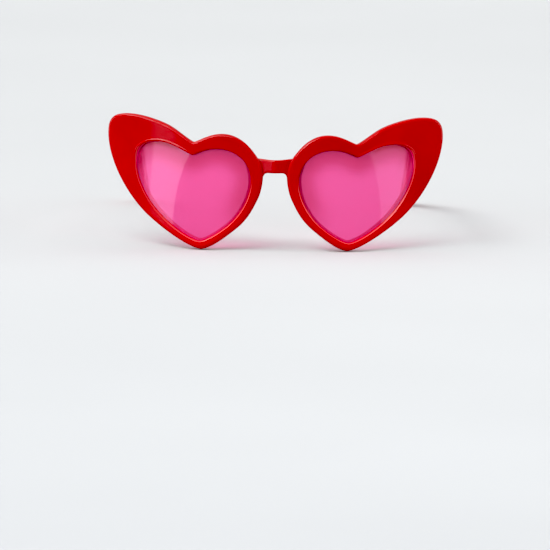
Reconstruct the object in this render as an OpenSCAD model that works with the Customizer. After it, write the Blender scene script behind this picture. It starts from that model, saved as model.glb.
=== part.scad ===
// Heart shaped sunglasses: a moulded front with two swept up heart rims, two
// tinted lenses, and two folding side arms on screwed metal leaf hinges.
//
// Shown open and standing as on a table, on the two heart tips and the ends of
// the two arms. +Z is up, the front faces -Y and the wearer's left is +X. The
// origin is the middle of the footprint, on the surface it stands on.
// Each piece is drawn upright first (front at y = 0, heart tips at z = 0) and
// then leaned back by lean_deg. Units are millimetres and degrees.

/* [Front] */
// Width of the front over the tips of the wings
front_w = 146; // [140:1:152]
// Height of the front from heart tip to wing top
front_h = 58.7; // [56:0.1:61]
// Thickness of the moulded front
front_t = 4; // [3.8:0.1:4.4]
// Radius that the front is wrapped to, seen from above
wrap_r = 150; // [140:1:170]
// Slope of the two flanks of the bridge, which meet in a soft ridge
bridge_slope = 0.42; // [0.2:0.02:0.5]
// How far the nose pads stand behind the face of the front
pad_back = 11.5; // [9:0.5:14]

/* [Lenses] */
// Thickness of a lens
lens_t = 1.7; // [1.4:0.1:1.8]
// Depth of the lens behind the face of the front
lens_in = 1.1; // [1:0.1:1.6]
// How far the lens edge reaches into its groove
lens_lap = 0.9; // [0.6:0.1:1.2]
// Clearance between the lens and its groove
lens_gap = 0.05; // [0.05:0.01:0.1]
// How far the ledge behind the lens stands in from the opening
ledge = 1.1; // [0.4:0.1:1.3]

/* [Arms] */
// Distance from the hinge to the end of an arm, straight back
arm_reach = 132; // [126:1:136]
// Thickness of an arm
arm_t = 3.4; // [3.2:0.1:3.8]
// Height of an arm at the hinge
arm_h = 9.6; // [9:0.1:10]
// Radius of the gentle inward curve of an arm
arm_curve_r = 900; // [850:50:2000]

/* [Hinges] */
// Distance of the inner face of each arm from the middle
hinge_x = 64; // [63.5:0.1:64.5]
// Distance of the hinge axes behind the face of the front
hinge_y = 29.1; // [28.5:0.1:30]
// Height of the middle of the hinges above the heart tips
hinge_z = 50; // [49:0.5:51]
// Outer radius of the hinge knuckles
knuckle_r = 1.35; // [1.25:0.05:1.35]
// Radius of the hinge screw
pin_r = 0.7; // [0.6:0.05:0.75]
// Thickness of the hinge leaves
leaf_t = 0.9; // [0.7:0.1:1]
// Radius of the leaf screws
screw_r = 0.7; // [0.5:0.05:0.75]

/* [Stance] */
// Lean of the front when the glasses stand open on a table
lean_deg = 8; // [6:0.1:9]

/* [Hidden] */

$fn = 48;
wrap_fn = 360;
arc_fn = 1440;
steps = 10;              // points on each stretch of an outline
sx = front_w / 146.2;    // the outlines below are for 146.2 by 58.7
sz = front_h / 58.7;
frame_red = [0.76, 0.0, 0.02];
lens_pink = [0.98, 0.36, 0.65, 0.6];
metal = [0.78, 0.78, 0.8];
axis_x = hinge_x - 1.45; // hinge axis, inside the inner face of the arm
arm_gap = 0.1;           // each side of the joint line between stub and arm
rest_y = 82.97 + (arm_reach - 132) * cos(lean_deg) / 2; // brings the footprint to the middle
// brings the lower back edge of the heart tips down to z = 0
rest_z = (wrap_r - sqrt(pow(wrap_r - front_t, 2) - pow(31.9 * sx, 2))) * sin(lean_deg);

// Outline of the left rim with its wing, from the top of the bridge clockwise.
// Each row is a point and the two handles of the curve to the next point.
rim_rows = [
  [[7.6, 39.8], [10.6, 44], [15.4, 50.1]],
  [[23.2, 50.1], [28.3, 50.1], [32, 47.75]],
  [[35.35, 46.5], [35.6, 46.4], [35.8, 46.42]],
  [[36.1, 46.6], [39.4, 48.3], [43.8, 52.4]],
  [[48, 54.3], [52.6, 56.4], [60, 58.7]],
  [[65, 58.7], [70.9, 58.7], [73.1, 56.7]],
  [[73.1, 50.6], [73.1, 40], [66.2, 25.3]],
  [[56.15, 15.3], [48.15, 7.8], [36.4, 0]],
  [[31.9, 0], [27.8, 0], [20.35, 5.9]],
  [[16.1, 9.4], [12.35, 12.55], [9.9, 16.5]],
  [[8.2, 20.2], [6.3, 23.6], [5.5, 27.2]],
  [[5.2, 31.4], [5, 35], [5.8, 37.4]],
  [[7.6, 39.8]]
];
// Outline of the lens opening
eye_rows = [
  [[10.5, 30.4], [10.5, 37.7], [17.2, 43.5]],
  [[25.4, 43.5], [29.8, 43.5], [32.7, 42.1]],
  [[35.3, 40.95], [35.7, 40.77], [36, 40.75]],
  [[36.5, 40.9], [40.3, 42.5], [45.7, 46.6]],
  [[52, 46.6], [57.4, 46.6], [60.1, 44]],
  [[60.1, 38], [60.1, 31], [55.6, 21.7]],
  [[49.3, 15], [43.7, 9], [35.2, 3.6]],
  [[32.2, 3.6], [29.8, 3.6], [22.6, 7.9]],
  [[18.4, 12.1], [13.8, 16.9], [10.5, 23.3]],
  [[10.5, 30.4]]
];
// Half outline of the bridge, from the middle of its top edge
bridge_rows = [
  [[0, 38.9], [3, 38.9], [5.2, 39.5]],
  [[9.4, 39.9], [9.4, 37], [9.4, 34]],
  [[9.4, 30.6], [8, 30.2], [6.4, 30.2]],
  [[5.15, 31.2], [4.9, 32.6], [4.5, 33.3]],
  [[3.2, 33.35], [2, 33.3], [1, 33.2]],
  [[0, 33.2]]
];
// Outline of the left nose pad, on the nose side of its rim
pad_rows = [
  [[5.7, 30.5], [6, 26], [7.4, 22]],
  [[10, 17.4], [11, 15.8], [12.4, 17]],
  [[11.8, 18.8], [10, 22], [9.2, 25.6]],
  [[9, 30.5], [8.8, 32], [5.8, 32]],
  [[5.7, 30.5]]
];
// Middle line of an arm seen from the side: distance behind the hinge, height
arm_rows = [
  [[0, 50], [35, 50], [65, 49.6]],
  [[86, 48.6], [104, 47.7], [115, 36.8]],
  [[128, 25.7]]
];

function bez(a, b, c, d, t) =
  pow(1 - t, 3) * a + 3 * pow(1 - t, 2) * t * b + 3 * (1 - t) * t * t * c + pow(t, 3) * d;
function path(rows, n = steps) =
  [for (i = [0 : len(rows) - 2], k = [0 : n - 1])
     bez(rows[i][0], rows[i][1], rows[i][2], rows[i + 1][0], k / n)];
function sized(pts) = [for (p = pts) [p.x * sx, p.y * sz]];
// Moves each point of a closed clockwise outline outwards by d
function grown(pts, d) = let (n = len(pts))
  [for (i = [0 : n - 1])
     let (t = pts[(i + 1) % n] - pts[(i + n - 1) % n], u = t / norm(t))
     pts[i] + d * [-u.y, u.x]];
// Half height of the arm along its middle line, u from 0 at the hinge to 1
function arm_half(u) = u < 0.55 ? arm_h / 2 - 1.3 * (u / 0.55)
                                : arm_h / 2 - 1.3 + 1.1 * pow(sin((u - 0.55) * 200), 2);
arm_mid = concat(path(arm_rows, 16), [arm_rows[2][0]]);
arm_n = len(arm_mid);
function arm_scaled(p) = [p.x * (arm_reach - 4) / 128, p.y];
function arm_dir(i) = let (a = arm_scaled(arm_mid[max(i - 1, 0)]), b = arm_scaled(arm_mid[min(i + 1, arm_n - 1)]))
  (b - a) / norm(b - a);
arm_side = let (top = [for (i = [0 : arm_n - 1]) let (d = i == 0 ? [1, 0] : arm_dir(i))
                         arm_scaled(arm_mid[i]) + arm_half(i / (arm_n - 1)) * [-d.y, d.x]],
                low = [for (i = [arm_n - 1 : -1 : 0]) let (d = i == 0 ? [1, 0] : arm_dir(i))
                         arm_scaled(arm_mid[i]) - arm_half(i / (arm_n - 1)) * [-d.y, d.x]],
                e = arm_dir(arm_n - 1), r = arm_half(1), c = arm_scaled(arm_mid[arm_n - 1]),
                cap = [for (a = [80 : -10 : -80]) c + r * (cos(a) * e + sin(a) * [-e.y, e.x])])
  concat(top, cap, low);

// Leans a piece back and sets it on the table
module stand() translate([0, -rest_y, rest_z]) rotate([-lean_deg, 0, 0]) children();
// Side -1 is the mirror image of side 1
module side(s) mirror([s < 0 ? 1 : 0, 0, 0]) children();
// A profile in X and Z made solid between two depths
module upright(pts, y0, y1)
  translate([0, y1, 0]) rotate([90, 0, 0]) linear_extrude(height = y1 - y0) polygon(pts);
// The space between two depths behind the wrapped face
module wrap(d0, d1)
  translate([0, wrap_r, -5]) difference() {
    cylinder(r = wrap_r - d0, h = front_h + 10, $fn = wrap_fn);
    translate([0, 0, -1]) cylinder(r = wrap_r - d1, h = front_h + 12, $fn = wrap_fn);
  }
// A low domed screw along +X with a driver slot, its seat at x = 0
module small_screw(r, head_r, head_h, shank) difference() {
  rotate([0, 90, 0]) rotate_extrude() polygon([
    [0, -shank], [r - 0.15, -shank], [r, 0.15 - shank], [r, 0], [head_r, 0], [head_r, 0.4 * head_h],
    [0.85 * head_r, 0.72 * head_h], [0.55 * head_r, 0.93 * head_h], [0, head_h]]);
  translate([head_h * 0.45, -head_r - 1, -0.14]) cube([2, 2 * head_r + 2, 0.28]);
}

rim_pts = sized(path(rim_rows));
eye_pts = sized(path(eye_rows));
bridge_half = sized(path(bridge_rows));
bridge_pts = concat(bridge_half, [[0, 33.2 * sz]],
  [for (i = [len(bridge_half) - 1 : -1 : 1]) [-bridge_half[i].x, bridge_half[i].y]]);

// Depth of the face of the bridge at a distance x from the middle
function arch(x) = bridge_slope * (norm([x, 1.7]) - 1.7) - 0.3;
// Arched bridge between the rims
module bridge() intersection() {
  upright(bridge_pts, -2, 8);
  translate([0, 0, 20]) linear_extrude(height = 30) polygon(concat(
    [for (x = [-10 : 0.5 : 10]) [x, arch(x)]],
    [for (x = [10 : -0.5 : -10]) [x, min(arch(x) + 3.35, 3.75)]]));
}
// Nose pad moulded on the back of a rim, rounded from the side
module nose_pad() intersection() {
  upright(sized(path(pad_rows, 6)), 2, 16);
  translate([0, pad_back - 8.2, 24 * sz]) rotate([0, 90, 0]) cylinder(r = 8.2, h = 20, $fn = 120);
}
// Stub behind the wing that carries the hinge
module stub() translate([0, 0, hinge_z - arm_h / 2]) linear_extrude(height = arm_h)
  polygon(concat(
    [[hinge_x, hinge_y - arm_gap], [hinge_x, hinge_y - 12.5]],
    [[hinge_x + 3, hinge_y - 12.5], [71.3, 20.9]],
    [for (k = [0 : 6]) bez([71.3, 22], [69, 23.6], [hinge_x + arm_t, 24.6], [hinge_x + arm_t, 27], k / 6)],
    [[hinge_x + arm_t, hinge_y - arm_gap]]));

module front_frame() color(frame_red) stand() difference() {
  union() {
    intersection() {
      wrap(0, front_t);
      union() for (s = [-1, 1]) side(s) upright(rim_pts, -2, 34);
    }
    bridge();
    for (s = [-1, 1]) side(s) { nose_pad(); stub(); }
  }
  for (s = [-1, 1]) side(s) {
    upright(grown(eye_pts, -ledge), -4, 36);
    intersection() {
      wrap(-2, lens_in + lens_t + lens_gap);
      upright(eye_pts, -4, 36);
    }
    intersection() {
      wrap(lens_in - lens_gap, lens_in + lens_t + lens_gap);
      upright(grown(eye_pts, lens_lap + lens_gap), -4, 36);
    }
    // pilot holes for the leaf screws
    for (z = [-1.8, 1.8]) translate([hinge_x - 0.5, hinge_y - 5.1, hinge_z + z])
      rotate([0, 90, 0]) cylinder(r = screw_r + 0.02, h = 3);
  }
}

module lens(s) color(lens_pink) stand() side(s) intersection() {
  wrap(lens_in, lens_in + lens_t);
  upright(grown(eye_pts, lens_lap), -4, 36);
}

module temple(s) color(frame_red) stand() side(s) difference() {
  intersection() {
    translate([hinge_x - 12, hinge_y, 0]) rotate([90, 0, 90]) linear_extrude(height = 20)
      polygon([for (p = arm_side) [max(p.x, arm_gap), p.y]]);
    union() {
      translate([hinge_x, hinge_y - 1, 0]) cube([arm_t, 15.1, 60]);
      translate([hinge_x - arm_curve_r, hinge_y + 14, 0]) difference() {
        cylinder(r = arm_curve_r + arm_t, h = 60, $fn = arc_fn);
        translate([0, 0, -1]) cylinder(r = arm_curve_r, h = 62, $fn = arc_fn);
        translate([-3000, -3000, -1]) cube([6000, 3000, 62]);
      }
    }
  }
  for (y = [4.6, 9.4]) translate([hinge_x - 0.5, hinge_y + y, hinge_z])
    rotate([0, 90, 0]) cylinder(r = screw_r + 0.02, h = 3);
}

// Leaf on the stub, with the upper and lower knuckles
module hinge_leaf_front(s) color(metal) stand() side(s) difference() {
  union() {
    translate([hinge_x - leaf_t, hinge_y - 7.6, hinge_z - 3.4]) cube([leaf_t, 6, 6.8]);
    for (z = [-3.4, 1.25]) {
      translate([axis_x, hinge_y, hinge_z + z]) cylinder(r = knuckle_r, h = 2.15);
      translate([hinge_x - leaf_t, hinge_y - 1.7, hinge_z + z]) cube([leaf_t - 0.1, 1.7, 2.15]);
    }
  }
  translate([axis_x, hinge_y, hinge_z - 4]) cylinder(r = pin_r + 0.04, h = 8);
  for (z = [-1.8, 1.8]) translate([hinge_x - 2, hinge_y - 5.1, hinge_z + z])
    rotate([0, 90, 0]) cylinder(r = screw_r + 0.08, h = 4);
}

// Leaf on the arm, with the middle knuckle
module hinge_leaf_temple(s) color(metal) stand() side(s) difference() {
  union() {
    translate([hinge_x - leaf_t, hinge_y + 1.6, hinge_z - 2.3]) cube([leaf_t, 10.4, 4.6]);
    translate([axis_x, hinge_y, hinge_z - 1.15]) cylinder(r = knuckle_r, h = 2.3);
    translate([hinge_x - leaf_t, hinge_y, hinge_z - 1.15]) cube([leaf_t - 0.1, 1.7, 2.3]);
  }
  translate([axis_x, hinge_y, hinge_z - 4]) cylinder(r = pin_r + 0.06, h = 8);
  for (y = [4.6, 9.4]) translate([hinge_x - 2, hinge_y + y, hinge_z])
    rotate([0, 90, 0]) cylinder(r = screw_r + 0.08, h = 4);
}

// Screw that is the pin of the hinge, its head on the upper knuckle
module hinge_screw(s) color(metal) stand() side(s)
  translate([axis_x, hinge_y, hinge_z + 3.4]) rotate([0, -90, 0]) small_screw(pin_r, 1.25, 0.7, 6.9);

module front_leaf_screws(s) color(metal) stand() side(s)
  for (z = [-1.8, 1.8]) translate([hinge_x - leaf_t, hinge_y - 5.1, hinge_z + z])
    rotate([0, 0, 180]) small_screw(screw_r, 1.2, 0.5, leaf_t + 2.3);

module temple_leaf_screws(s) color(metal) stand() side(s)
  for (y = [4.6, 9.4]) translate([hinge_x - leaf_t, hinge_y + y, hinge_z])
    rotate([0, 0, 180]) small_screw(screw_r, 1.2, 0.5, leaf_t + 2.3);

front_frame();
lens(1);  // lens_left
lens(-1);  // lens_right
temple(1);  // temple_left
temple(-1);  // temple_right
hinge_leaf_front(1);  // hinge_leaf_front_left
hinge_leaf_front(-1);  // hinge_leaf_front_right
hinge_leaf_temple(1);  // hinge_leaf_temple_left
hinge_leaf_temple(-1);  // hinge_leaf_temple_right
hinge_screw(1);  // hinge_screw_left
hinge_screw(-1);  // hinge_screw_right
front_leaf_screws(1);  // front_leaf_screws_left
front_leaf_screws(-1);  // front_leaf_screws_right
temple_leaf_screws(1);  // temple_leaf_screws_left
temple_leaf_screws(-1);  // temple_leaf_screws_right
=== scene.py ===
import math
from math import asin, cos, pi, radians, sin, sqrt

import bmesh
import bpy
from mathutils import Matrix, Vector
from mathutils.kdtree import KDTree


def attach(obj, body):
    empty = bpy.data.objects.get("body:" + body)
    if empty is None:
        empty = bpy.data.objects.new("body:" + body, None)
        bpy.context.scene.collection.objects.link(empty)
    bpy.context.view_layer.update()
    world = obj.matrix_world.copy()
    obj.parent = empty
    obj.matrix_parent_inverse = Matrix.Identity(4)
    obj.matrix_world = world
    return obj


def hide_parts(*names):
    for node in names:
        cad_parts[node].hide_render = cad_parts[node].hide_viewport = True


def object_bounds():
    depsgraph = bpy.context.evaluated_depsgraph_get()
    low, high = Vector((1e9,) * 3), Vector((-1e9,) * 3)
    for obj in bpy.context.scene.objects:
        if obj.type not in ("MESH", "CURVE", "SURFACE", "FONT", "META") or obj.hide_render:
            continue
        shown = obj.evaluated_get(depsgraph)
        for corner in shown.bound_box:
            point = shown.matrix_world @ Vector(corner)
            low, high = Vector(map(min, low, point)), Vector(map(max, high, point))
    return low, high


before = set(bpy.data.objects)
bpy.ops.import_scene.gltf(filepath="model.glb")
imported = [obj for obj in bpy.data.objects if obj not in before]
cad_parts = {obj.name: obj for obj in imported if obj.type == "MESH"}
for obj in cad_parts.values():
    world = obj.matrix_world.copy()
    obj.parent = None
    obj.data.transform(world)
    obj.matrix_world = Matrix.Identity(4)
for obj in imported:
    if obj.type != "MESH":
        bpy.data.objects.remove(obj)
cad_lo, cad_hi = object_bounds()
cad_lo, cad_hi = list(cad_lo), list(cad_hi)

# ---------------------------------------------------------------------------
# The design frame of the part, in millimetres: the front upright with its face
# at y = 0 and the heart tips at z = 0, then leaned back and set on the table.
# ---------------------------------------------------------------------------
LEAN = radians(8)
CL, SL = cos(LEAN), sin(LEAN)
R = 150.0            # wrap radius of the front
T = 4.0              # thickness of the front
SX = 146 / 146.2
REST_Y = 82.97
REST_Z = (R - sqrt((R - T) ** 2 - (31.9 * SX) ** 2)) * SL
LENS_T = 1.5
LEDGE = 1.1          # ledge behind the lens


def W(x, y, z):
    return Vector((x, y * CL + z * SL - REST_Y, -y * SL + z * CL + REST_Z)) * 0.001


def on_wrap(s, z, d):
    """Arc length s and height z on the wrapped face, d behind it."""
    a = s / R
    return ((R - d) * sin(a), R - (R - d) * cos(a), z)


def lens_depth(z):
    """Depth of the front of a lens, which is domed from top to bottom."""
    t = (z - 10.9) / 30.0
    return 0.95 + 1.11 * t ** 3 - 1.08 * t


def bez(a, b, c, d, t):
    u = 1 - t
    k = (u ** 3, 3 * u * u * t, 3 * u * t * t, t ** 3)
    return tuple(k[0] * a[i] + k[1] * b[i] + k[2] * c[i] + k[3] * d[i] for i in (0, 1))


def path(rows, n):
    out = []
    for i in range(len(rows) - 1):
        a, b, c = rows[i]
        for k in range(n):
            out.append(bez(a, b, c, rows[i + 1][0], k / n))
    return out


def lerp(a, b, t):
    return tuple(a[i] + (b[i] - a[i]) * t for i in range(len(a)))


def smooth(t):
    t = min(max(t, 0.0), 1.0)
    return t * t * (3 - 2 * t)


# Outline of the left rim and wing, and of the lens opening: a point and the
# two handles of the curve to the next point. The notches are slightly rounded.
RIM = [
    ((7.6, 39.8), (10.6, 44), (15.4, 50.1)),
    ((23.2, 50.1), (28.3, 50.1), (32, 47.75)),
    ((35.35, 46.5), (35.6, 46.4), (35.8, 46.42)),
    ((36.1, 46.6), (39.4, 48.3), (43.8, 52.4)),
    ((48, 54.3), (52.6, 56.4), (60, 58.7)),
    ((65, 58.7), (70.9, 58.7), (73.1, 56.7)),
    ((73.1, 50.6), (73.1, 40), (66.2, 25.3)),
    ((56.15, 15.3), (48.15, 7.8), (36.4, 0)),
    ((31.9, 0), (27.8, 0), (20.35, 5.9)),
    ((16.1, 9.4), (12.35, 12.55), (9.9, 16.5)),
    ((8.2, 20.2), (6.3, 23.6), (5.5, 27.2)),
    ((5.2, 31.4), (5, 35), (5.8, 37.4)),
    ((7.6, 39.8),),
]
EYE = [
    ((10.5, 30.4), (10.5, 37.7), (17.2, 43.5)),
    ((25.4, 43.5), (29.8, 43.5), (32.7, 42.1)),
    ((35.3, 40.95), (35.7, 40.77), (36, 40.75)),
    ((36.5, 40.9), (40.3, 42.5), (45.7, 46.6)),
    ((52, 46.6), (57.4, 46.6), (60.1, 44)),
    ((60.1, 38), (60.1, 31), (55.6, 21.7)),
    ((49.3, 15), (43.7, 9), (35.2, 3.6)),
    ((32.2, 3.6), (29.8, 3.6), (22.6, 7.9)),
    ((18.4, 12.1), (13.8, 16.9), (10.5, 23.3)),
    ((10.5, 30.4),),
]
# Points that face each other across the rim, and the stations between them
SPANS = [
    ((7.6, 39.8), (13.4, 39.3), 20),
    ((23.2, 50.3), (25.5, 43.4), 18),
    ((35.7, 46.7), (36.1, 40.75), 18),
    ((48.0, 54.3), (46.0, 45.2), 18),
    ((65.0, 58.7), (55.0, 45.8), 22),
    ((73.1, 50.6), (60.0, 40.5), 40),
    ((56.0, 15.5), (51.6, 16.4), 28),
    ((31.9, 0.0), (32.2, 3.5), 26),
    ((16.2, 9.5), (18.9, 11.8), 16),
    ((8.2, 20.2), (12.6, 21.5), 14),
    ((5.2, 31.4), (11.1, 31.0), 12),
]


def to_arc(pts, depth):
    return [(R * asin(x * SX / (R - depth)), z) for x, z in pts]


def dense(rows, depth):
    pts = to_arc(path(rows, 60), depth)
    n = len(pts)
    nor = []
    for i in range(n):
        a, b = pts[(i - 3) % n], pts[(i + 3) % n]
        l = math.hypot(b[0] - a[0], b[1] - a[1])
        nor.append((-(b[1] - a[1]) / l, (b[0] - a[0]) / l))     # outwards of a clockwise outline
    return pts, nor


def stations(rows, depth, which):
    pts, nor = dense(rows, depth)
    n = len(pts)
    marks = []
    for span in SPANS:
        m = to_arc([span[which]], depth)[0]
        marks.append(min(range(n), key=lambda i: math.hypot(pts[i][0] - m[0], pts[i][1] - m[1])))
    out = []
    for k, span in enumerate(SPANS):
        i0, i1 = marks[k], marks[(k + 1) % len(SPANS)]
        if i1 <= i0:
            i1 += n
        run = [0.0]
        for i in range(i0, i1):
            a, b = pts[i % n], pts[(i + 1) % n]
            run.append(run[-1] + math.hypot(b[0] - a[0], b[1] - a[1]))
        j = 0
        for q in range(span[2]):
            want = run[-1] * q / span[2]
            while run[j + 1] < want:
                j += 1
            f = (want - run[j]) / (run[j + 1] - run[j])
            a, b = (i0 + j) % n, (i0 + j + 1) % n
            p = lerp(pts[a], pts[b], f)
            v = lerp(nor[a], nor[b], f)
            l = math.hypot(*v)
            out.append((p, (v[0] / l, v[1] / l)))
    return out


def moved(pn, d):
    (p, v) = pn
    return (p[0] + v[0] * d, p[1] + v[1] * d)


# ---------------------------------------------------------------------------
# Mesh helpers
# ---------------------------------------------------------------------------
def new_object(name, verts, faces, sharp=35.0):
    bm = bmesh.new()
    vs = [bm.verts.new(v) for v in verts]
    for f in faces:
        bm.faces.new([vs[i] for i in f])
    return finish_mesh(name, bm, sharp)


def finish_mesh(name, bm, sharp=35.0):
    bmesh.ops.recalc_face_normals(bm, faces=bm.faces)
    if bm.calc_volume(signed=True) < 0:
        bmesh.ops.reverse_faces(bm, faces=bm.faces)
    for f in bm.faces:
        f.smooth = True
    for e in bm.edges:
        e.smooth = len(e.link_faces) == 2 and e.calc_face_angle(0) < radians(sharp)
    me = bpy.data.meshes.new(name)
    bm.to_mesh(me)
    bm.free()
    ob = bpy.data.objects.new(name, me)
    bpy.context.scene.collection.objects.link(ob)
    return ob


def ring_mesh(rows, closed_along=True, caps=False):
    """Quads between equally long closed rows of points."""
    n, m = len(rows), len(rows[0])
    verts = [p for r in rows for p in r]
    faces = []
    last = n if closed_along else n - 1
    for i in range(last):
        for j in range(m):
            a, b = i * m + j, i * m + (j + 1) % m
            c, d = ((i + 1) % n) * m + (j + 1) % m, ((i + 1) % n) * m + j
            faces.append((a, b, c, d))
    if caps:
        faces.append(tuple(range(m)))
        faces.append(tuple((n - 1) * m + j for j in range(m - 1, -1, -1)))
    return verts, faces


def joined(name, obs, sharp=35.0):
    """One closed mesh of overlapping closed meshes."""
    base = obs[0]
    for o in obs[1:]:
        m = base.modifiers.new("u", "BOOLEAN")
        m.operation = "UNION"
        m.solver = "EXACT"
        m.object = o
    dg = bpy.context.evaluated_depsgraph_get()
    me = bpy.data.meshes.new_from_object(base.evaluated_get(dg))
    bm = bmesh.new()
    bm.from_mesh(me)
    bpy.data.meshes.remove(me)
    bmesh.ops.remove_doubles(bm, verts=bm.verts, dist=2e-6)
    bmesh.ops.dissolve_degenerate(bm, edges=bm.edges, dist=2e-6)
    for o in obs:
        old = o.data
        bpy.data.objects.remove(o)
        bpy.data.meshes.remove(old)
    return finish_mesh(name, bm, sharp)


def arc(r, n, a0=0.0, a1=90.0):
    return [(r * sin(radians(a0 + (a1 - a0) * k / n)), r * cos(radians(a0 + (a1 - a0) * k / n)))
            for k in range(n + 1)]


def rounded_rect(u0, u1, v0, v1, r00, r10, r11, r01, seg=5, side=3):
    """Corner points counter-clockwise from (u0, v0), with a radius for each corner."""
    out = []
    corners = [((u0, v0), r00, 180), ((u1, v0), r10, 270), ((u1, v1), r11, 0), ((u0, v1), r01, 90)]
    for k, ((u, v), r, a) in enumerate(corners):
        cu = u + r if u == u0 else u - r
        cv = v + r if v == v0 else v - r
        for q in range(seg + 1):
            t = radians(a + 90 * q / seg)
            out.append((cu + r * cos(t), cv + r * sin(t)))
        (nu, nv), nr, na = corners[(k + 1) % 4]
        ncu = nu + nr if nu == u0 else nu - nr
        ncv = nv + nr if nv == v0 else nv - nr
        t = radians(na)
        e = (ncu + nr * cos(t), ncv + nr * sin(t))
        p = out[-1]
        for q in range(1, side):
            out.append(lerp(p, e, q / side))
    return out


# ---------------------------------------------------------------------------
# The moulded front
# ---------------------------------------------------------------------------
OUT = stations(RIM, 1.1, 0)
INN = stations(EYE, 1.3, 1)
PAINTED_HIGHLIGHT = []                              # points of the bevels, with how strong a painted highlight they carry
PAINTED_WALL_LIGHT = []                                 # points of the wall round the lens, with how much painted light they carry


def bend(a, b, c, n):
    """A rounded corner at b, from a to c."""
    return [tuple(a[i] * (1 - t) ** 2 + 2 * b[i] * t * (1 - t) + c[i] * t * t for i in (0, 1))
            for t in (k / n for k in range(n + 1))]


def rim(side):
    r1, r2 = 1.5, 1.0                      # outer edge, front and back
    rb = 0.45                              # back edge of the opening
    rows = []
    for o, e in zip(OUT, INN):
        front, rear = lens_depth(e[0][1]) - 0.05, lens_depth(e[0][1]) + LENS_T + 0.05
        # The lip is raised a little above the opening on the wing's side
        rise = 0.30 * smooth((e[0][0] - 35.0) / 6.0) * smooth((e[1][1] - 0.1) / 0.6)
        # Bevel round the opening: its two edges and its depth, small along the top
        outer = smooth((e[0][0] - 44) / 8)
        slim = smooth((e[1][1] + 0.1 - 0.55 * outer) / 0.5)
        crest, low, fall = 0.84 - 0.52 * slim, 0.32 - 0.20 * slim, 0.42 - 0.20 * slim
        bevel = bend((crest + 0.12, 0), (crest, 0), (lerp((crest, 0), (low, fall), 0.20)), 4)
        n_top = len(bevel)
        bevel += bend(lerp((crest, 0), (low, fall), 0.84), (low, fall), lerp((low, fall), (0, 1.2), 0.12), 3)
        foot = crest + 1.0
        # Painted highlight: how strongly a lighter colour is laid on the bevel, along the lower and side edges
        # of the opening and round the wing's corner, fading up the nose side
        light = smooth((0.45 + 0.4 * smooth((e[0][0] - 48) / 6) - e[1][1]) / 0.3)
        if e[0][0] < 22:
            light *= smooth((30.0 - e[0][1]) / 8.0)
        sec = []
        a, b = moved(o, -r1), moved(e, foot)
        for k in range(9):                               # face
            sec.append((*lerp(a, b, k / 9), 0.0))
        for k in range(7):                               # outer slope of the raised lip
            sec.append((*moved(e, foot + (crest + 0.18 - foot) * k / 6), -rise * smooth(k / 6)))
        for k, (w, d) in enumerate(bevel):               # the bevel, turning into the opening
            # These bevel points carry the painted highlight, fainter at the bevel's inner end
            if k >= n_top - 2 and light > 0:
                x, y, zz = on_wrap(*moved(e, w), d - rise)
                PAINTED_HIGHLIGHT.append((W(side * x, y, zz), light if k < len(bevel) - 2 else 0.35 * light))
            sec.append((*moved(e, w), d - rise))
        sec.append((*moved(e, low * 0.5), (fall - rise + front) / 2))
        sec.append((*moved(e, 0.0), front))              # groove for the lens
        # Painted light: the wall and ledge round the lens on the wing's side get a lighter crimson, as if lit
        # through the pink lens; tinted is how much
        tinted = smooth((e[0][0] - 42) / 8) * smooth((e[1][1] + 0.3) / 0.4)
        wall = len(sec) - 2
        sec.append((*moved(e, 1.05), front))
        sec.append((*moved(e, 1.05), rear))
        # Ledge behind it, slight along the top and on the wing's side
        ledge = LEDGE * (1 - 0.82 * max(smooth((e[1][1] - 0.3) / 0.4),
                                        smooth((e[0][0] - 44) / 8) * smooth((e[1][1] + 0.35) / 0.4)))
        sec.append((*moved(e, -ledge + 0.12), rear))
        sec.append((*moved(e, -ledge), rear + 0.1))
        for sn, cs in arc(rb, 4, 90, 0):
            sec.append((*moved(e, rb - sn - ledge), T - rb + cs))
        if tinted > 0:
            for s, z, d in sec[wall:]:
                x, y, zz = on_wrap(s, z, d)
                PAINTED_WALL_LIGHT.append((W(side * x, y, zz), tinted))
        a, b = moved(e, rb - ledge), moved(o, -r2)
        for k in range(1, 8):                            # back face
            sec.append((*lerp(a, b, k / 8), T))
        for sn, cs in arc(r2, 5):
            sec.append((*moved(o, -r2 + sn), T - r2 + cs))
        for k in range(1, 3):                            # outer wall
            sec.append((*moved(o, 0.0), T - r2 + (r1 - T + r2) * k / 3))
        for sn, cs in arc(r1, 8, 90, 0)[:-1]:
            sec.append((*moved(o, -r1 + sn), r1 - cs))
        row = []
        for s, z, d in sec:
            x, y, zz = on_wrap(s, z, d)
            row.append(W(side * x, y, zz))
        rows.append(row)
    return new_object("rim", *ring_mesh(rows))


def table(pts):
    xs = [p[0] for p in pts]

    def f(x):
        for i in range(len(xs) - 1):
            if x <= xs[i + 1]:
                t = (x - xs[i]) / max(xs[i + 1] - xs[i], 1e-9)
                return pts[i][1] + (pts[i + 1][1] - pts[i][1]) * min(max(t, 0), 1)
        return pts[-1][1]
    return f


BR_TOP = table(path([((0, 38.95), (3, 38.95), (5.2, 39.55)), ((9.4, 39.9),)], 40) + [(9.4, 39.9)])
BR_LOW = table(path([((0, 33.2), (1.4, 33.2), (2.2, 33.3)), ((3.2, 33.3), (4.4, 33.25), (4.95, 32.5)),
                     ((5.2, 31.3), (5.5, 30.5), (6.2, 30.2)), ((7.4, 30.2), (8, 30.2), (8.6, 30.4)),
                     ((9.4, 30.6),)], 30) + [(9.4, 30.6)])


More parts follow.
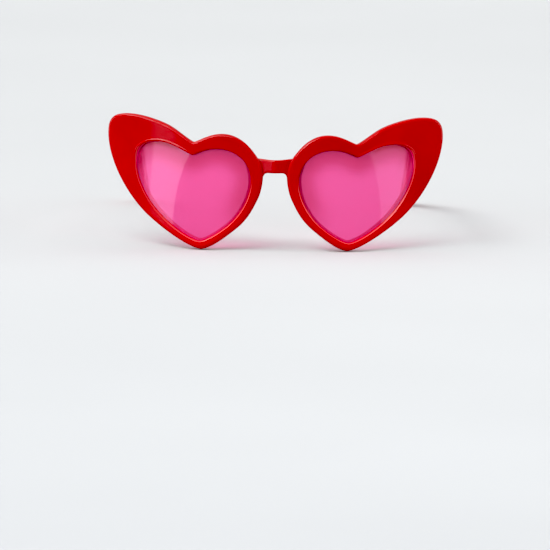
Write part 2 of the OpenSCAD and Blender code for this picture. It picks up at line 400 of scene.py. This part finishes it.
def bridge():
    xs = [0.35 * k for k in range(0, 12)] + [4.2 + 0.12 * k for k in range(0, 20)] + [6.8, 7.4, 8.1, 8.8, 9.3]
    xs = sorted({round(v, 3) for v in xs} | {-round(v, 3) for v in xs})
    rows = []
    for x in xs:
        ax = abs(x)
        # Two flanks with a soft ridge between; level where it ends inside the rims
        yf = min(0.4 * (sqrt(ax * ax + 0.9 ** 2) - 0.9) - 0.47, 1.9)
        yb = min(yf + 3.35, 3.75 + 0.0033 * ax * ax)
        zt, zb = BR_TOP(ax), BR_LOW(ax)
        row = [W(x, u, v) for u, v in rounded_rect(yf, yb, zb, zt, 0.8, 0.7, 0.7, 1.0, 6, 6)]
        rows.append(row)
    return new_object("bridge", *ring_mesh(rows, False, True))


NOSE = table(sorted([(z, x) for x, z in path(RIM[7:12], 40)], key=lambda p: p[0]))


def nose_x(z):
    """The rim's edge beside the nose at height z."""
    best = None
    for x, zz in path(RIM[8:12], 30):
        if best is None or abs(zz - z) < best[0]:
            best = (abs(zz - z), x)
    return best[1]


def nose_pad(side):
    n = 30
    rows = []
    for k in range(n + 1):
        t = -cos(pi * k / n)
        z = 24.0 + 8.1 * t
        back = 3.3 + 8.0 * sqrt(max(1 - t * t, 0.0)) ** 1.15
        x0 = nose_x(min(max(z, 15.9), 31.5)) + 1.9
        half = 1.35
        row = []
        y0 = 2.6
        tip = min(1.9, max((back - y0) * 0.6, 0.2))
        prof = [(-half, y0)]
        for q in range(1, 4):
            prof.append((-half, y0 + (back - tip - y0) * q / 4))
        for q in range(13):
            a = pi * q / 12
            prof.append((-half * cos(a), back - tip + tip * sin(a)))
        for q in range(3, 0, -1):
            prof.append((half, y0 + (back - tip - y0) * q / 4))
        prof.append((half, y0))
        for q in range(1, 4):
            prof.append((half - 2 * half * q / 4, y0))
        for u, y in prof:
            splay = 0.16 * max(y - 3.6, 0.0)
            row.append(W(side * (x0 + u + splay), y, z))
        rows.append(row)
    return new_object("pad", *ring_mesh(rows, False, True))


HX, HY, HZ, ARM_T, ARM_H = 64.0, 29.1, 50.0, 3.4, 9.6


def stub(side):
    ys = [16.9, 17.6, 18.4, 19.0, 19.6, 20.2, 20.8, 21.4, 22.2, 23.0, 23.8, 24.6, 25.4, 26.2, 27.0, 27.8,
          28.4, 28.7, 28.82, 28.94, 29.0]
    rows = []
    fair = table([(y, x) for x, y in path([((70.6, 21.6), (69.6, 23.0), (HX + ARM_T, 24.2)),
                                           ((HX + ARM_T, 27),)], 40)] + [(27.0, HX + ARM_T)])
    for y in ys:
        x1 = 66.6 + (y - 16.9) * 0.85 if y < 21.6 else fair(y)
        flare = smooth((22.4 - y) / 3.6)
        x0 = HX - 1.2 * flare
        z0, z1 = HZ - ARM_H / 2 - 1.2 * flare, HZ + ARM_H / 2 + 1.2 * flare
        ins = {28.7: 0.03, 28.82: 0.09, 28.94: 0.2, 29.0: 0.34}.get(y, 0.0)
        r = 1.05 - ins
        row = [W(side * u, y, v) for u, v in
               rounded_rect(x0 + ins, x1 - ins, z0 + ins, z1 - ins, r * 0.6, r, r, r * 0.6, 5, 4)]
        rows.append(row)
    return new_object("stub", *ring_mesh(rows, False, True))


front = joined("front_shell", [rim(1), rim(-1), bridge(), nose_pad(1), nose_pad(-1), stub(1), stub(-1)])
# Store the painted highlight on the bevels, and the painted light on the walls, as point attributes of the
# front
for name, marked in (("painted_edge_highlight", PAINTED_HIGHLIGHT), ("painted_wall_light", PAINTED_WALL_LIGHT)):
    near = KDTree(len(marked))
    for i, (v, amount) in enumerate(marked):
        near.insert(v, i)
    near.balance()
    values = front.data.attributes.new(name, "FLOAT", "POINT")
    for v in front.data.vertices:
        co, i, gap = near.find(v.co)
        values.data[v.index].value = marked[i][1] if gap < 3e-6 else 0.0
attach(front, "front")
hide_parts("front_frame")


# ---------------------------------------------------------------------------
# Lenses: curved sheets with their edge in the groove of the rim
# ---------------------------------------------------------------------------
def painted_rim_shadow(side, s, z):
    """How much painted shadow of the rim the lens carries, as a deeper tint: softly below the top edge of the
    opening and beside the nose, and strongly in a narrow band at the wing's end, longer on the side the light
    comes from."""
    best, edge, rising = 0.0, 1e9, 0.0
    for (p, v) in INN[::2]:
        gap = math.hypot(s - p[0], z - p[1])
        w = max(smooth((v[1] - 0.25) / 0.4), 0.85 * smooth((-v[0] - 0.65) / 0.3))
        best = max(best, 0.55 * w * smooth(1.2 - gap / 9.5))
        w = smooth((p[0] - 38) / 8) * smooth((v[1] + (0.45 if side < 0 else 0.1)) / 0.5)
        best = max(best, 0.9 * w * smooth(1.0 - (gap - 0.9) / 2.5))
        edge, rising = min((edge, rising), (gap, v[1]))
    # Less painted shadow again in front of the side of the ledge
    best *= 1 - 0.85 * smooth((s - 42) / 8) * smooth((1.2 - edge) / 1.2) * smooth((0.95 - rising) / 0.3)
    return best


def lens(side, name):
    edge = [moved(e, 0.95) for e in INN]
    n = len(edge)
    cs, cz = 33.5, 27.5
    loops = []
    rings = 18
    for k in range(rings):                         # front, from the middle out
        t = 1 - (1 - (k + 0.6) / (rings - 0.4)) ** 1.35
        loops.append([(cs + (s - cs) * t, cz + (z - cz) * t, 0.0) for s, z in edge])
    for k in range(rings - 1, -1, -1):
        t = 1 - (1 - (k + 0.6) / (rings - 0.4)) ** 1.35
        loops.append([(cs + (s - cs) * t, cz + (z - cz) * t, LENS_T) for s, z in edge])
    rows, painted_shadow_amounts = [], []
    for lp in loops:
        row = []
        for s, z, d in lp:
            painted_shadow_amounts.append(painted_rim_shadow(side, s, z))
            x, y, zz = on_wrap(s, z, lens_depth(z) + d)
            row.append(W(side * x, y, zz))
        rows.append(row)
    verts, faces = ring_mesh(rows, False, False)
    for base, d in ((0, 0.0), ((len(rows) - 1) * n, LENS_T)):
        x, y, zz = on_wrap(cs, cz, lens_depth(cz) + d)
        verts.append(W(side * x, y, zz))
        c = len(verts) - 1
        for j in range(n):
            faces.append((base + j, base + (j + 1) % n, c) if base == 0 else (base + (j + 1) % n, base + j, c))
    ob = new_object(name, verts, faces, 50)
    # The painted shadow goes on the lens as a point attribute
    tint = ob.data.attributes.new("painted_rim_shadow", "FLOAT", "POINT")
    for i, value in enumerate(painted_shadow_amounts):
        tint.data[i].value = value
    return ob


lenses = []
for side, word in ((1, "left"), (-1, "right")):
    ob = lens(side, "tinted_lens_" + word)
    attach(ob, "front")
    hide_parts("lens_" + word)
    lenses.append(ob)


# ---------------------------------------------------------------------------
# Arms
# ---------------------------------------------------------------------------
ARM = [((0, 50), (35, 50), (65, 49.6)), ((86, 48.6), (104, 47.7), (115, 36.8)), ((128, 25.7),)]
CURVE_R = 900.0


def arm_half(u):
    if u < 0.55:
        return ARM_H / 2 - 1.3 * (u / 0.55)
    return ARM_H / 2 - 1.3 + 1.1 * sin(radians((u - 0.55) * 200)) ** 2


def inward(y):
    """How far the inner face has curved in at a distance y behind the hinge."""
    v = max(y - 14.0, 0.0)
    return CURVE_R - sqrt(CURVE_R ** 2 - v * v)


def arm(side, name):
    mid = path(ARM, 40) + [ARM[2][0]]
    n = len(mid)
    dirs = []
    for i in range(n):
        a, b = mid[max(i - 1, 0)], mid[min(i + 1, n - 1)]
        l = math.hypot(b[0] - a[0], b[1] - a[1])
        dirs.append(((b[0] - a[0]) / l, (b[1] - a[1]) / l) if i else (1.0, 0.0))
    rows = []

    def section(c, d, half, t0, t1, r):
        row = []
        for u, v in rounded_rect(t0, t1, -half, half, r * 0.85, r, r, r * 0.85, 5, 4):
            y, z = c[0] - v * d[1], c[1] + v * d[0]
            row.append(W(side * (HX + u - inward(y)), HY + y, z))
        rows.append(row)

    for y, ins in ((0.1, 0.34), (0.16, 0.2), (0.28, 0.09), (0.42, 0.03), (0.6, 0.0)):
        section((y, 50), (1, 0), ARM_H / 2 - ins, ins, ARM_T - ins, 1.05 - ins)
    for i in range(1, n):
        if mid[i][0] < 1.0:
            continue
        section(mid[i], dirs[i], arm_half(i / (n - 1)), 0, ARM_T, 1.05)
    c, d, h = mid[-1], dirs[-1], arm_half(1)
    for k in range(1, 13):                          # rounded end
        a = radians(90 * k / 12.6)
        q = (c[0] + d[0] * h * sin(a), c[1] + d[1] * h * sin(a))
        f = cos(a)
        edge = ARM_T / 2 * (1 - sqrt(max(1 - max(sin(a) - 0.55, 0) ** 2 / 0.24, 0.05)))
        section(q, d, max(h * f, 0.45), edge, ARM_T - edge, min(1.05, h * f * 0.9, (ARM_T - 2 * edge) * 0.48))
    return new_object(name, *ring_mesh(rows, False, True))


arms = []
for side, word in ((1, "left"), (-1, "right")):
    ob = arm(side, "side_arm_" + word)
    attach(ob, "arm_" + word)
    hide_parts("temple_" + word)
    arms.append(ob)


# ---------------------------------------------------------------------------
# Materials
# ---------------------------------------------------------------------------
def material(name):
    m = bpy.data.materials.new(name)
    m.use_nodes = True
    nt = m.node_tree
    nt.nodes.clear()
    out = nt.nodes.new("ShaderNodeOutputMaterial")
    b = nt.nodes.new("ShaderNodeBsdfPrincipled")
    nt.links.new(b.outputs[0], out.inputs[0])
    return m, nt, b


def coords(nt, scale=(1, 1, 1)):
    tc = nt.nodes.new("ShaderNodeTexCoord")
    mp = nt.nodes.new("ShaderNodeMapping")
    mp.inputs["Scale"].default_value = scale
    nt.links.new(tc.outputs["Object"], mp.inputs["Vector"])
    return mp.outputs[0]


def noise(nt, vec, scale, detail=2.0, rough=0.5):
    n = nt.nodes.new("ShaderNodeTexNoise")
    n.inputs["Scale"].default_value = scale
    n.inputs["Detail"].default_value = detail
    n.inputs["Roughness"].default_value = rough
    nt.links.new(vec, n.inputs["Vector"])
    return n.outputs["Fac"]


def ramp(nt, fac, stops):
    r = nt.nodes.new("ShaderNodeValToRGB")
    els = r.color_ramp.elements
    while len(els) < len(stops):
        els.new(0.5)
    for e, (p, c) in zip(els, stops):
        e.position = p
        e.color = (*c, 1) if len(c) == 3 else c
    nt.links.new(fac, r.inputs[0])
    return r.outputs[0]


def span(nt, fac, lo, hi, a=0.3, b=0.7):
    r = nt.nodes.new("ShaderNodeMapRange")
    r.inputs["From Min"].default_value = a
    r.inputs["From Max"].default_value = b
    r.inputs["To Min"].default_value = lo
    r.inputs["To Max"].default_value = hi
    nt.links.new(fac, r.inputs["Value"])
    return r.outputs[0]


def mixed(nt, name, base, colour):
    """The base colour, going over to another one where the mesh says so."""
    at = nt.nodes.new("ShaderNodeAttribute")
    at.attribute_name = name
    mx = nt.nodes.new("ShaderNodeMix")
    mx.data_type = "RGBA"
    nt.links.new(at.outputs["Fac"], mx.inputs["Factor"])
    nt.links.new(base, mx.inputs[6])
    mx.inputs[7].default_value = (*colour, 1)
    return mx.outputs[2]


def bump(nt, b, height, strength, distance, normal=None):
    n = nt.nodes.new("ShaderNodeBump")
    n.inputs["Strength"].default_value = strength
    n.inputs["Distance"].default_value = distance
    nt.links.new(height, n.inputs["Height"])
    if normal is not None:
        nt.links.new(normal, n.inputs["Normal"])
    nt.links.new(n.outputs[0], b.inputs["Normal"])
    return n.outputs[0]


def red_plastic():
    m, nt, b = material("gloss_red_plastic")
    v = coords(nt)
    cloud = noise(nt, v, 45, 3, 0.55)
    col = ramp(nt, cloud, [(0.30, (0.405, 0.0, 0.0015)), (0.70, (0.475, 0.0, 0.0025))])
    # Painted light: a little lighter towards the tips at the bottom, where more light falls
    sep = nt.nodes.new("ShaderNodeSeparateXYZ")
    nt.links.new(v, sep.inputs[0])
    low = nt.nodes.new("ShaderNodeMix")
    low.data_type = "RGBA"
    nt.links.new(span(nt, sep.outputs[2], 1.0, 0.0, 0.006, 0.022), low.inputs["Factor"])
    nt.links.new(col, low.inputs[6])
    low.inputs[7].default_value = (0.545, 0.001, 0.004, 1)
    # Painted highlight: a lighter pinkish red on the bevels round the openings
    light = mixed(nt, "painted_edge_highlight", low.outputs[2], (0.62, 0.055, 0.06))
    # Painted light: a lighter crimson on the walls round the lenses
    nt.links.new(mixed(nt, "painted_wall_light", light, (0.86, 0.05, 0.17)), b.inputs["Base Color"])
    nt.links.new(span(nt, noise(nt, v, 260, 3, 0.6), 0.14, 0.22), b.inputs["Roughness"])
    peel = noise(nt, v, 420, 2, 0.5)
    fine = noise(nt, v, 2600, 2, 0.5)
    n1 = bump(nt, b, peel, 0.05, 0.0002)
    bump(nt, b, fine, 0.03, 0.00005, n1)
    b.inputs["IOR"].default_value = 1.46
    b.inputs["Specular IOR Level"].default_value = 0.35
    return m


def pink_lens():
    m, nt, b = material("pink_lens_plastic")
    v = coords(nt)
    col = ramp(nt, noise(nt, v, 25, 2, 0.5), [(0.3, (0.92, 0.165, 0.425)), (0.7, (0.95, 0.18, 0.455))])
    # Painted shadow: the lens colour goes deep crimson where the rim's shadow is painted in
    nt.links.new(mixed(nt, "painted_rim_shadow", col, (0.56, 0.03, 0.06)), b.inputs["Base Color"])
    nt.links.new(span(nt, noise(nt, v, 300, 2, 0.5), 0.03, 0.05), b.inputs["Roughness"])
    bump(nt, b, noise(nt, v, 60, 1, 0.4), 0.04, 0.0003)
    b.inputs["Transmission Weight"].default_value = 0.75
    b.inputs["IOR"].default_value = 1.5
    b.inputs["Specular IOR Level"].default_value = 0.36
    # Lamps shine through the tint on to what is behind it
    out = next(n for n in nt.nodes if n.type == "OUTPUT_MATERIAL")
    clear = nt.nodes.new("ShaderNodeBsdfTransparent")
    clear.inputs["Color"].default_value = (0.85, 0.30, 0.55, 1)
    path = nt.nodes.new("ShaderNodeLightPath")
    mix = nt.nodes.new("ShaderNodeMixShader")
    nt.links.new(path.outputs["Is Shadow Ray"], mix.inputs[0])
    nt.links.new(b.outputs[0], mix.inputs[1])
    nt.links.new(clear.outputs[0], mix.inputs[2])
    nt.links.new(mix.outputs[0], out.inputs[0])
    return m


def plated_steel(name, tint, lo, hi, stretch):
    m, nt, b = material(name)
    v = coords(nt, stretch)
    grain = noise(nt, v, 900, 4, 0.6)
    col = ramp(nt, grain, [(0.3, tuple(0.86 * c for c in tint)), (0.7, tint)])
    nt.links.new(col, b.inputs["Base Color"])
    nt.links.new(span(nt, grain, lo, hi), b.inputs["Roughness"])
    bump(nt, b, grain, 0.15, 0.00002)
    b.inputs["Metallic"].default_value = 1.0
    return m


def give(ob, mat):
    ob.data.materials.clear()
    ob.data.materials.append(mat)


RED = red_plastic()
PINK = pink_lens()
LEAF = plated_steel("nickel_leaf", (0.72, 0.71, 0.69), 0.22, 0.42, (1, 8, 1))
SCREW = plated_steel("bright_screw", (0.80, 0.79, 0.77), 0.16, 0.30, (1, 1, 1))

for ob in [front] + arms:
    give(ob, RED)
for ob in lenses:
    give(ob, PINK)
for key, ob in list(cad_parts.items()):
    if not isinstance(ob, bpy.types.Object):
        ob = bpy.data.objects.get(key)
    if ob is None or key.startswith(("front_frame", "lens", "temple_left", "temple_right")):
        continue
    mat = SCREW if "screw" in key else LEAF
    if ob.material_slots:
        for sl in ob.material_slots:
            sl.material = mat
    else:
        ob.data.materials.append(mat)

# ---------------------------------------------------------------------------
# Floor, light and camera
# ---------------------------------------------------------------------------
bpy.ops.mesh.primitive_plane_add(size=16, location=(0, 0, 0))
floor = bpy.context.object
floor.name = "studio_floor"
fm, fnt, fb = material("pale_floor")
fv = coords(fnt)
fcol = ramp(fnt, noise(fnt, fv, 3, 2, 0.5), [(0.3, (0.50, 0.510, 0.515)), (0.7, (0.52, 0.53, 0.535))])
fnt.links.new(fcol, fb.inputs["Base Color"])
fb.inputs["Roughness"].default_value = 0.9
fb.inputs["Specular IOR Level"].default_value = 0.1
floor.data.materials.append(fm)


def direction(x, y, z):
    """A direction of the design frame in the world."""
    return Vector((x, y * CL + z * SL, -y * SL + z * CL))


def toward(az, el):
    """Unit vector to azimuth az, right of the camera's side, and elevation el."""
    a, e = radians(az), radians(el)
    return direction(sin(a) * cos(e), -cos(a) * cos(e), sin(e))


def facing(az, el, dist):
    """Centre and axes of a plane that faces the object from one side."""
    v = toward(az, el)
    across = direction(0, 0, 1).cross(v).normalized()
    return MID + v * dist, across, v.cross(across), v


def softbox(name, az, el, dist, size, radiance):
    li = bpy.data.lights.new(name, "AREA")
    li.shape = "RECTANGLE"
    li.size, li.size_y = size
    li.energy = radiance * pi * size[0] * size[1]
    ob = bpy.data.objects.new(name, li)
    bpy.context.scene.collection.objects.link(ob)
    mid, across, up, v = facing(az, el, dist)
    ob.location = mid
    ob.rotation_mode = "QUATERNION"
    ob.rotation_quaternion = Matrix((across, up, v)).transposed().to_quaternion()
    ob.visible_camera = False
    return ob


def light_panel(name, az, el, dist, corners, radiance):
    """A glowing flat studio panel, with its corners in the plane that faces the object."""
    mid, across, up, v = facing(az, el, dist)
    me = bpy.data.meshes.new(name)
    me.from_pydata([mid + across * x + up * y for x, y in corners], [], [tuple(range(len(corners)))])
    ob = bpy.data.objects.new(name, me)
    bpy.context.scene.collection.objects.link(ob)
    m = bpy.data.materials.new(name + "_glow")
    m.use_nodes = True
    nt = m.node_tree
    nt.nodes.clear()
    out = nt.nodes.new("ShaderNodeOutputMaterial")
    em = nt.nodes.new("ShaderNodeEmission")
    em.inputs["Color"].default_value = (0.93, 1.0, 1.15, 1)
    em.inputs["Strength"].default_value = radiance
    nt.links.new(em.outputs[0], out.inputs[0])
    me.materials.append(m)
    ob.visible_camera = False
    ob.visible_shadow = False
    return ob


def far_light(name, az, el, angle, strength):
    li = bpy.data.lights.new(name, "SUN")
    li.angle = radians(angle)
    li.energy = strength
    ob = bpy.data.objects.new(name, li)
    bpy.context.scene.collection.objects.link(ob)
    v = toward(az, el)
    ob.location = MID + v * 3.0
    ob.rotation_mode = "QUATERNION"
    ob.rotation_quaternion = (-v).to_track_quat("-Z", "Y")
    ob.visible_camera = False
    return ob


MID = W(0, 6, 28)
far_light("key_upper_left", -50, 46, 24, 0.75)
far_light("key_upper", -29, 46, 24, 0.68)
far_light("key_top_front", -9, 44, 24, 0.55)
far_light("rim_upper_left", -74, 52, 24, 0.55)
far_light("top_light", 0, 98, 80, 1.4)
far_light("side_left", -97, 14, 60, 1.1)
far_light("side_right", 97, 14, 60, 1.4)
light_panel("panel_left", -58, 8, 1.25,
            [(0.286, -0.35), (0.473, -0.35), (0.777, 0.45), (0.24, 0.45), (0.296, 0.0)], 2.4)
light_panel("panel_left_edge", -58, 8, 1.25,
            [(0.235, -0.35), (0.286, -0.35), (0.296, 0.0), (0.24, 0.45), (0.145, 0.45), (0.235, 0.0)], 1.1)
light_panel("panel_right", 61, 8, 1.25,
            [(-0.300, -0.35), (-0.511, -0.35), (-0.7075, 0.45), (-0.240, 0.45), (-0.300, 0.0)], 1.25)
softbox("strip_left", -71, 6, 1.2, (0.09, 0.60), 5.0)
softbox("strip_right", 71, 22, 1.2, (0.09, 0.95), 5.0)

world = bpy.data.worlds.new("studio")
world.use_nodes = True
bg = world.node_tree.nodes["Background"]
bg.inputs[0].default_value = (0.93, 0.94, 0.96, 1)
bg.inputs[1].default_value = 0.36
bpy.context.scene.world = world

# The photo's frame is 550 x 550 px with 0.435 mm to a pixel at the object,
# turned by 0.86 degrees, and the object stands above its middle.
K, TURN = 0.435, radians(0.86)
D = 5000.0
cam = bpy.data.cameras.new("camera")
cam.sensor_width = 36
cam.sensor_fit = "HORIZONTAL"
cam.lens = 36 * D / (550 * K)
cam_ob = bpy.data.objects.new("camera", cam)
bpy.context.scene.collection.objects.link(cam_ob)
ct, st = cos(TURN), sin(TURN)


right, up, back = direction(ct, 0, st), direction(-st, 0, ct), direction(0, -1, 0)
AIM = (0.664, 6.0, -10.92)
loc = W(*AIM) + back * (D * 0.001)
cam_ob.matrix_world = Matrix.Translation(loc) @ Matrix((right, up, back)).transposed().to_4x4()
cam.clip_start, cam.clip_end = 0.1, 50
bpy.context.scene.camera = cam_ob
look = bpy.context.scene.view_settings
look.view_transform = "Standard"
look.use_curve_mapping = True            # a slightly raised black level, as in the photo's deep reds
look.curve_mapping.black_level = (0.045, 0.045, 0.045)
look.curve_mapping.update()
